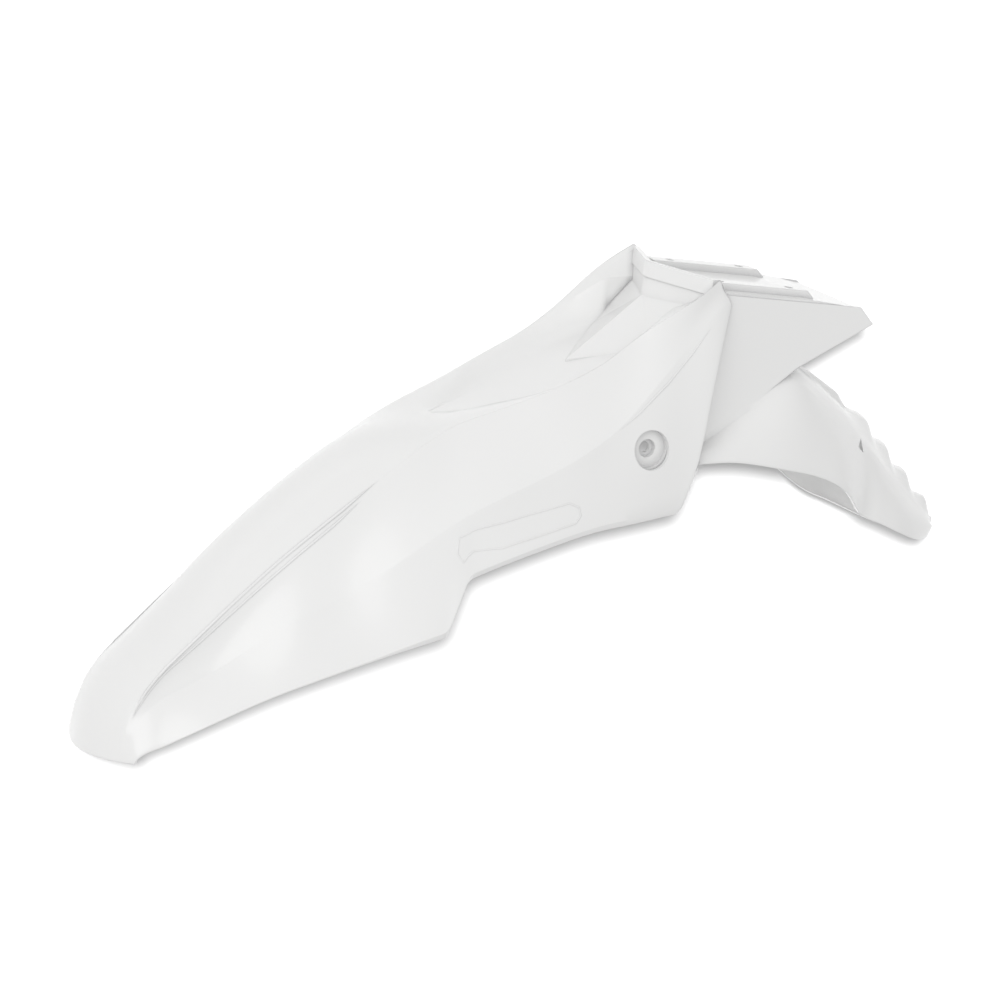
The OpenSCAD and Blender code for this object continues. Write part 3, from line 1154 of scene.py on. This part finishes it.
@dataclass
class Deck:
    """The boxed deck: floor, rails and side plates, in mm.

    Attributes:
        prow: The wall that the floor meets in front.
        drop: Depth of the deck floor below the tops of the rails.
        rail_y: Half width to the outer edge of a rail.
        rail_width: Width of a rail.
        rail_length: Length of a rail.
        rail_taper: Length of the slope at a rail's rear end.
        bolt_x: Bolt spacing along the deck.
        bolt_d: Diameter of a bolt hole.
        bolt_cut: Length of the tool that cuts a bolt hole.
        floor_half: Half widths of the floor at its front, at the dip and at its rear.
        dip_x: Where the floor starts to fall.
        dip_lap: How far the falling plate reaches into the level one.
        rear: Rear edge of the floor.
        dip: How far the floor falls to its rear edge.
        side_front: Front end of a side plate: x and half width.
        side_rear: Rear end of a side plate: x and half width.
        side_outline: Outline of a side plate: distance back from its front, and height.
        wall: Thickness of the moulding.
    """

    prow: Prow
    drop: float = 5.0
    rail_y: float = 43.4
    rail_width: float = 14.4
    rail_length: float = 96.0
    rail_taper: float = 6.0
    bolt_x: float = 60.0
    bolt_d: float = 6.6
    bolt_cut: float = 40.0
    floor_half: Point = (59.0, 51.5, 46.0)
    dip_x: float = -40.0
    dip_lap: float = 0.5
    rear: float = -88.0
    dip: float = 4.0
    side_front: Pair = (46.0, 60.5)
    side_rear: Pair = (-102.0, 46.0)
    side_outline: Line = ((-1, -6), (135, -8), (149, -20), (86, -57), (15, -117), (-1, -127))
    wall: float = 3.0

    def build_floor(self) -> list[bpy.types.Object]:
        """Models the level floor and the falling plate behind it.

        Returns:
            The two plates.
        """
        front, middle, rear = self.floor_half
        top, lap, start = -self.drop, self.dip_x + self.dip_lap, self.side_front[0]
        plan = [*self.prow.line(self.wall / 2), (start, front), (self.dip_x, middle),
                (self.dip_x, -middle), (start, -front)]
        level = outline_solid("deck_floor", [(x, y, top) for x, y in plan], (0, 0, -self.wall))
        fall = [(lap, -middle, top), (lap, middle, top),
                (self.rear, rear, top - self.dip), (self.rear, -rear, top - self.dip)]
        return [level, outline_solid("deck_fall", fall, (0, 0, -self.wall))]

    def build_rail(self, side: int) -> bpy.types.Object:
        """Models one rail.

        Args:
            side: 1 for the left, -1 for the right.

        Returns:
            The rail.
        """
        half, low = self.rail_length / 2, -self.drop - self.wall
        profile = [(half, low), (half, 0), (self.rail_taper - half, 0), (-half, -self.drop),
                   (-half, low)]
        corners = [(x, side * self.rail_y, z) for x, z in profile]
        return outline_solid("rail", corners, (0, -side * self.rail_width, 0))

    def build_side(self, side: int) -> bpy.types.Object:
        """Models one side plate of the box.

        Args:
            side: 1 for the left, -1 for the right.

        Returns:
            The plate.
        """
        front = self.side_front
        back = (Vector(self.side_rear) - Vector(front)).normalized()
        corners = [(front[0] + back[0] * u, side * (front[1] + back[1] * u), v)
                   for u, v in self.side_outline]
        inward = (-back[1] * self.wall, side * back[0] * self.wall, 0)
        return outline_solid("side_plate", corners, inward)

    def bolt_tools(self) -> list[bpy.types.Object]:
        """Makes the tools that cut the bolt holes.

        Returns:
            The four tools.
        """
        x, y = self.bolt_x / 2, self.rail_y - self.rail_width / 2
        return [rod("hole", (sx * x, sy * y, 0), self.bolt_d / 2, self.bolt_cut, False)
                for sx in SIDES for sy in SIDES]

    def build(self) -> list[bpy.types.Object]:
        """Models the deck, with its four bolt holes cut.

        Returns:
            The pieces.
        """
        pieces = self.build_floor()
        for side in SIDES:
            pieces += [self.build_rail(side), self.build_side(side)]
        for piece in pieces:
            if piece.name.startswith(("deck_floor", "rail")):
                carve(piece, self.bolt_tools(), Carving.CUT)
        return pieces


@dataclass
class SideCups:
    """The round cup sunk in each side for a bolt, in mm.

    Attributes:
        x: Place of the hole along the fender.
        z: Height of the hole.
        floor: Half width at which the recess has its floor.
        recess_d: Diameter of the recess.
        counterbore_d: Diameter of the counterbore.
        counterbore_depth: Depth of the counterbore.
        hole_d: Diameter of the through hole.
        wall: Thickness of the cup's wall.
        depth: Depth of the cup behind the recess's floor.
        out: How far the cup reaches in front of that floor.
        clear_out: How far the recess is cut free outward.
        clear_in: How far the hole is cut free behind the cup.
        overlap: How far one cut reaches into the next.
    """

    x: float = 93.0
    z: float = -121.0
    floor: float = 79.0
    recess_d: float = 29.0
    counterbore_d: float = 13.4
    counterbore_depth: float = 4.0
    hole_d: float = 8.4
    wall: float = 3.0
    depth: float = 7.0
    out: float = 4.0
    clear_out: float = 30.0
    clear_in: float = 20.0
    overlap: float = 1.0

    def discs(self, radius: float, low: float, high: float) -> list[bpy.types.Object]:
        """Makes a round tool on each side.

        Args:
            radius: Its radius.
            low: Half width at which it starts.
            high: Half width at which it ends.

        Returns:
            The two tools.
        """
        middle = (low + high) / 2
        return [rod("cup", (self.x, side * middle, self.z), radius, high - low, True)
                for side in SIDES]

    def cut(self, shell: bpy.types.Object) -> None:
        """Sinks the cups into the skin.

        Args:
            shell: The skin.
        """
        floor, rear = self.floor, self.floor - self.depth
        outer = self.recess_d / 2 + self.wall
        carve(shell, self.discs(outer, rear, floor + self.out), Carving.ADD)
        for diameter, low, high in (
            (self.recess_d, floor, floor + self.clear_out),
            (self.counterbore_d, floor - self.counterbore_depth, floor + self.overlap),
            (self.hole_d, rear - self.clear_in, floor + self.overlap),
        ):
            carve(shell, self.discs(diameter / 2, low, high), Carving.CUT)


@dataclass
class TailSlots:
    """The small three-cornered opening in each side of the tail, in mm.

    Attributes:
        corners: Its corners, along the fender and in height.
        inner: Half width at which the cut starts.
        outer: Half width at which it ends.
    """

    corners: tuple[Pair, ...] = ((-113, -113.5), (-117, -108), (-119, -117.5))
    inner: float = 28.0
    outer: float = 46.0

    def cut(self, shell: bpy.types.Object) -> None:
        """Cuts the opening in each side.

        Args:
            shell: The skin.
        """
        tools = []
        for side in SIDES:
            corners = [(x, side * self.inner, z) for x, z in self.corners]
            tools.append(outline_solid("slot", corners, (0, side * (self.outer - self.inner), 0)))
        carve(shell, tools, Carving.CUT)


@dataclass(frozen=True)
class GlossPlastic:
    """Finish of the moulding: white, glossy, with a faint unevenness and painted shade in its
    narrow hollows.

    Attributes:
        color: Base colour, linear.
        painted_shade_color: Painted shade: the darker base colour painted into narrow hollows and
            crevices, standing in for the shade that falls there.
        painted_shade_reach: How near a wall must be for the painted shade to darken a hollow, in
            metres.
        painted_shade_samples: Samples taken for the painted shade in the hollows.
        roughness: Surface roughness.
        coat: Weight of the clear gloss layer.
        coat_roughness: Roughness of that layer.
        edge_radius: Radius that the edges are rounded to, in metres.
        edge_samples: Samples taken for the edges.
        ripple_scale: Size of the faint unevenness, per metre.
        ripple_strength: Strength of the bump it gives.
        ripple_height: Height of that bump, in metres.
    """

    color: Point = (0.845, 0.845, 0.84)
    painted_shade_color: Point = (0.55, 0.55, 0.555)
    painted_shade_reach: float = 0.006
    painted_shade_samples: int = 8
    roughness: float = 0.3
    coat: float = 0.35
    coat_roughness: float = 0.12
    edge_radius: float = 0.0011
    edge_samples: int = 6
    ripple_scale: float = 9.0
    ripple_strength: float = 0.02
    ripple_height: float = 0.002

    def material(self) -> bpy.types.Material:
        """Makes the finish's material.

        Returns:
            The material.
        """
        material, tree, shader = new_material("white_gloss_plastic")
        # Painted shade: an ambient-occlusion mask darkens the base colour towards
        # painted_shade_color in narrow hollows and crevices, standing in for the shade that falls
        # there.
        hollow = tree.nodes.new("ShaderNodeAmbientOcclusion")
        hollow.samples = self.painted_shade_samples
        hollow.inputs["Distance"].default_value = self.painted_shade_reach
        tone = mixed_color(tree, hollow.outputs["AO"], self.painted_shade_color, self.color)
        tree.links.new(tone, shader.inputs["Base Color"])
        shader.inputs["Roughness"].default_value = self.roughness
        shader.inputs["Coat Weight"].default_value = self.coat
        shader.inputs["Coat Roughness"].default_value = self.coat_roughness
        bevel = tree.nodes.new("ShaderNodeBevel")
        bevel.samples = self.edge_samples
        bevel.inputs["Radius"].default_value = self.edge_radius
        where = tree.nodes.new("ShaderNodeTexCoord")
        ripple = tree.nodes.new("ShaderNodeTexNoise")
        ripple.inputs["Scale"].default_value = self.ripple_scale
        bump = tree.nodes.new("ShaderNodeBump")
        bump.inputs["Strength"].default_value = self.ripple_strength
        bump.inputs["Distance"].default_value = self.ripple_height
        tree.links.new(where.outputs["Object"], ripple.inputs["Vector"])
        tree.links.new(ripple.outputs["Fac"], bump.inputs["Height"])
        tree.links.new(bevel.outputs["Normal"], bump.inputs["Normal"])
        tree.links.new(bump.outputs["Normal"], shader.inputs["Normal"])
        return material


@dataclass
class Moulding:
    """The whole fender, joined into the one piece that the real one is.

    Attributes:
        finish: The plastic it is made of.
        smooth_angle: Edges flatter than this are shaded smooth, in degrees.
    """

    finish: GlossPlastic = field(default_factory=GlossPlastic)
    smooth_angle: float = 28.0

    def dress(self, pieces: Sequence[bpy.types.Object]) -> bpy.types.Object:
        """Joins the modelled parts and gives them their finish.

        Args:
            pieces: The parts, the skin first.

        Returns:
            The dressed piece.
        """
        shell = join_pieces("front_fender_shell", pieces)
        shell.data.materials.clear()
        shell.data.materials.append(self.finish.material())
        select_only(shell)
        bpy.ops.object.shade_smooth_by_angle(angle=math.radians(self.smooth_angle))
        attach(shell, BODY)
        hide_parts(NODE)
        return shell


@dataclass(frozen=True)
class Lamp:
    """One far light that shines on one thing alone.

    Attributes:
        name: The light's name.
        aim: Direction to the light: to the right, up and towards the camera.
        strength: Its strength.
        spread: How wide it looks, in degrees.
    """

    name: str
    aim: Point
    strength: float
    spread: float


@dataclass(frozen=True)
class Studio:
    """The photograph's plain studio: the fender lies with its far side on a white table.

    Attributes:
        right: The picture's right, as a direction.
        up: The picture's up.
        back: Direction from the object to the camera.
        target: Point in the middle of the picture, in metres.
        distance: Camera distance, in metres.
        view_width: Width of the picture at the target, in metres.
        sensor: Width of the camera's sensor, in mm.
        far_limit: Farthest that the camera sees, in metres.
        table_y: Where the table top is, in metres.
        table_size: Side of the table top, in metres.
        table_tone: How light the table top looks.
        table_bounce: How much light it throws back on the object.
        light_level: Mean radiance of the surrounding light.
        light_slant: Share by which that light is stronger from the camera's side.
        table_light: Lamp that gives the table its drop shadow.
        key_light: Lamp that models the fender.
    """

    right: Point = (-0.8502, 0.4954, 0.1783)
    up: Point = (0.0714, -0.2273, 0.9712)
    back: Point = (0.5217, 0.8384, 0.1579)
    target: Point = (0.1307, -0.0452, -0.1916)
    distance: float = 12.0
    view_width: float = 0.7356
    sensor: float = 36.0
    far_limit: float = 100.0
    table_y: float = -0.112
    table_size: float = 60.0
    table_tone: float = 0.68
    table_bounce: float = 0.36
    light_level: float = 0.61
    light_slant: float = 0.35
    table_light: Lamp = Lamp("table_light", (0.0, 0.03, 1.0), 4.6, 3.8)
    key_light: Lamp = Lamp("key_light", (-0.18, 0.25, 1.0), 0.78, 50.0)

    def build_camera(self) -> None:
        """Puts the camera at the photograph's angle."""
        turn = Matrix([self.right, self.up, self.back]).transposed().normalized()
        data = bpy.data.cameras.new("photo_camera")
        data.sensor_width = self.sensor
        data.lens = self.sensor * self.distance / self.view_width
        data.clip_end = self.far_limit
        camera = bpy.data.objects.new("photo_camera", data)
        camera.location = Vector(self.target) + Vector(self.back) * self.distance
        camera.rotation_mode = "QUATERNION"
        camera.rotation_quaternion = turn.to_quaternion()
        bpy.context.collection.objects.link(camera)
        bpy.context.scene.camera = camera

    def build_world(self) -> None:
        """Lights the scene from all round and gives the camera a white background."""
        world = bpy.data.worlds.new("studio_world")
        bpy.context.scene.world = world
        world.use_nodes = True
        tree = world.node_tree
        light = tree.nodes["Background"]
        light.inputs["Color"].default_value = WHITE
        where = tree.nodes.new("ShaderNodeTexCoord")
        facing = tree.nodes.new("ShaderNodeVectorMath")
        facing.operation = "DOT_PRODUCT"
        facing.inputs[1].default_value = self.back
        level = tree.nodes.new("ShaderNodeMapRange")
        level.inputs["From Min"].default_value = -1.0
        level.inputs["From Max"].default_value = 1.0
        level.inputs["To Min"].default_value = self.light_level * (1 - self.light_slant)
        level.inputs["To Max"].default_value = self.light_level * (1 + self.light_slant)
        tree.links.new(where.outputs["Generated"], facing.inputs[0])
        tree.links.new(facing.outputs["Value"], level.inputs["Value"])
        tree.links.new(level.outputs["Result"], light.inputs["Strength"])
        backdrop = tree.nodes.new("ShaderNodeBackground")
        backdrop.inputs["Color"].default_value = WHITE
        backdrop.inputs["Strength"].default_value = 1.0
        chooser = tree.nodes.new("ShaderNodeMixShader")
        tree.links.new(seen_rays(tree), chooser.inputs[0])
        tree.links.new(light.outputs[0], chooser.inputs[1])
        tree.links.new(backdrop.outputs[0], chooser.inputs[2])
        tree.links.new(chooser.outputs[0], tree.nodes["World Output"].inputs["Surface"])

    def build_lamp(self, lamp: Lamp, lit: bpy.types.Object) -> None:
        """Adds a lamp.

        Args:
            lamp: The lamp.
            lit: What it shines on.
        """
        axes = [Vector(v) for v in (self.right, self.up, self.back)]
        away = sum((axis * share for axis, share in zip(axes, lamp.aim)), Vector())
        data = bpy.data.lights.new(lamp.name, "SUN")
        data.energy = lamp.strength
        data.angle = math.radians(lamp.spread)
        sun = bpy.data.objects.new(lamp.name, data)
        sun.rotation_mode = "QUATERNION"
        sun.rotation_quaternion = away.to_track_quat("Z", "Y")
        bpy.context.collection.objects.link(sun)
        receivers = bpy.data.collections.new(f"{lamp.name}_receivers")
        receivers.objects.link(lit)
        sun.light_linking.receiver_collection = receivers

    def build_table(self) -> bpy.types.Object:
        """Stands the white table top behind the object, where it takes the drop shadow.

        Returns:
            The table top.
        """
        bpy.ops.object.select_all(action="DESELECT")
        bpy.ops.mesh.primitive_plane_add(size=self.table_size, rotation=(math.radians(90), 0, 0))
        table = bpy.context.active_object
        table.name = "table_top"
        table.location = (0.0, self.table_y, 0.0)
        material, tree, shader = new_material("white_table")
        bounce, shown = (self.table_bounce,) * 3, (self.table_tone,) * 3
        tone = mixed_color(tree, seen_rays(tree), bounce, shown)
        tree.links.new(tone, shader.inputs["Base Color"])
        shader.inputs["Roughness"].default_value = 1.0
        shader.inputs["Specular IOR Level"].default_value = 0.0
        table.data.materials.append(material)
        return table

    def build(self, fender: bpy.types.Object) -> None:
        """Sets up the table, the light and the camera.

        Args:
            fender: The dressed fender.
        """
        table = self.build_table()
        self.build_world()
        self.build_lamp(self.table_light, table)
        self.build_lamp(self.key_light, fender)
        self.build_camera()
        bpy.context.scene.view_settings.view_transform = "Standard"


def main() -> None:
    """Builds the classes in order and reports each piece."""
    logging.basicConfig(level=logging.INFO)
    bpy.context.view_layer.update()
    skin, prow = Skin(), Prow()
    sheet = skin.build()
    SideCups().cut(sheet)
    TailSlots().cut(sheet)
    beads = Beads(skin).build()
    pieces = [sheet, *prow.build(), *Deck(prow).build(), *beads]
    for piece in pieces:
        LOG.info("%s has %d faces", piece.name, len(piece.data.polygons))
    shell = Moulding().dress(pieces)
    LOG.info("%s has %d faces", shell.name, len(shell.data.polygons))
    Studio().build(shell)
    bpy.context.view_layer.update()


if __name__ == "__main__":
    main()
